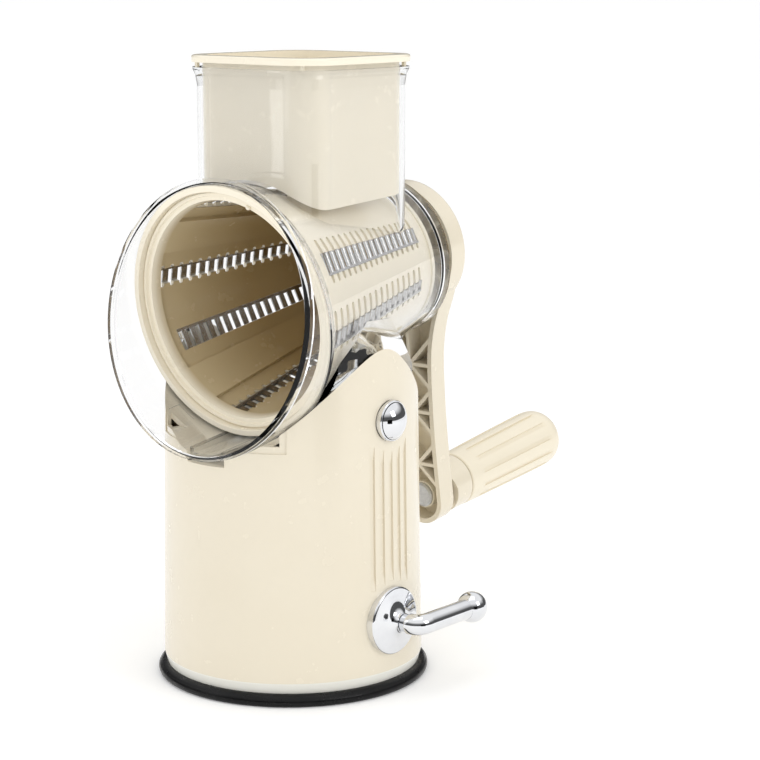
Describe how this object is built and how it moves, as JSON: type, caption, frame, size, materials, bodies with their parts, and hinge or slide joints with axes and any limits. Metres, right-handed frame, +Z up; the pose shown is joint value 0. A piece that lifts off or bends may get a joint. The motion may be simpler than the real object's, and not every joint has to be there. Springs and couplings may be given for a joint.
{
  "type": "hand cranked drum slicer",
  "caption": "Hand-cranked rotary drum slicer on a suction foot, with a clear hopper and barrel, a food pusher, a fluted crank handle and a chrome suction lever.",
  "frame": {"origin": "centre of the underside of the suction foot", "axes": "+Z up, -Y out of the drum's mouth, +Y towards the crank, +X through the release button and the suction lever"},
  "size_m": [0.155, 0.2849, 0.3032],
  "materials": {
    "cream_plastic": "moulded glossy cream plastic",
    "white_plastic": "moulded off-white plastic",
    "grey_plastic": "plain grey acetal",
    "clear_plastic": "clear moulded plastic",
    "black_rubber": "glossy black rubber",
    "steel": "zinc-plated steel",
    "blade_steel": "stamped stainless steel",
    "chrome": "bright chrome plating"
  },
  "bodies": {
    "base": {"suction_foot": "black_rubber", "suction_membrane": "black_rubber", "base_plate": "white_plastic", "base_screws": "steel", "body_shell": "cream_plastic", "cam_bracket": "grey_plastic", "bracket_screws": "steel", "lever_flange": "chrome", "button_bezel": "chrome", "drum_housing": "clear_plastic", "rear_bearing": "grey_plastic"},
    "rotor": {"drum_cage": "cream_plastic", "slicing_plate_1": "cream_plastic", "slicing_plate_2": "cream_plastic", "slicing_plate_3": "cream_plastic", "slicing_plate_4": "cream_plastic", "blade_comb_1": "blade_steel", "blade_comb_2": "blade_steel", "blade_comb_3": "blade_steel", "blade_comb_4": "blade_steel", "drive_spindle": "steel", "crank_arm": "cream_plastic", "crank_screw": "steel", "handle_axle": "steel", "handle_collar": "cream_plastic", "axle_clip": "steel"},
    "grip": {"handle_grip": "cream_plastic"},
    "lever": {"suction_lever": "chrome", "lever_cam": "grey_plastic", "lever_clip": "steel"},
    "cup": {"pull_rod": "grey_plastic"},
    "button": {"release_button": "chrome", "latch_pin": "steel", "button_spring": "steel"},
    "pusher": {"food_pusher": "cream_plastic"}
  },
  "joints": [
    {"name": "crank_turn", "type": "hinge", "parent": "base", "child": "rotor", "pos_m": [0, 0, 0.1904], "axis": [0, 0.9906, 0.1366], "continuous": true},
    {"name": "grip_spin", "type": "hinge", "parent": "rotor", "child": "grip", "pos_m": [0, 0.01844, 0.05667], "axis": [0, 0.9906, 0.1366], "continuous": true},
    {"name": "lever_turn", "type": "hinge", "parent": "base", "child": "lever", "pos_m": [0.0802, 0, 0.0356], "axis": [1, 0, 0], "range_deg": [0, 180]},
    {"name": "cup_lift", "type": "slide", "parent": "base", "child": "cup", "axis": [0, 0, 1], "range_m": [0, 0.002], "deforming": ["suction_membrane"]},
    {"name": "button_press", "type": "slide", "parent": "base", "child": "button", "axis": [-1, 0, 0], "range_m": [0, 0.0045], "stiffness_N_per_m": 300, "springref_m": -0.003, "deforming": ["button_spring"]},
    {"name": "pusher_lift", "type": "slide", "parent": "base", "child": "pusher", "axis": [0, 0, 1], "range_m": [0, 0.075]}
  ],
  "couplings": [
    {"joint": "cup_lift", "follows": "lever_turn", "m_per_rad": 0.0006366}
  ]
}
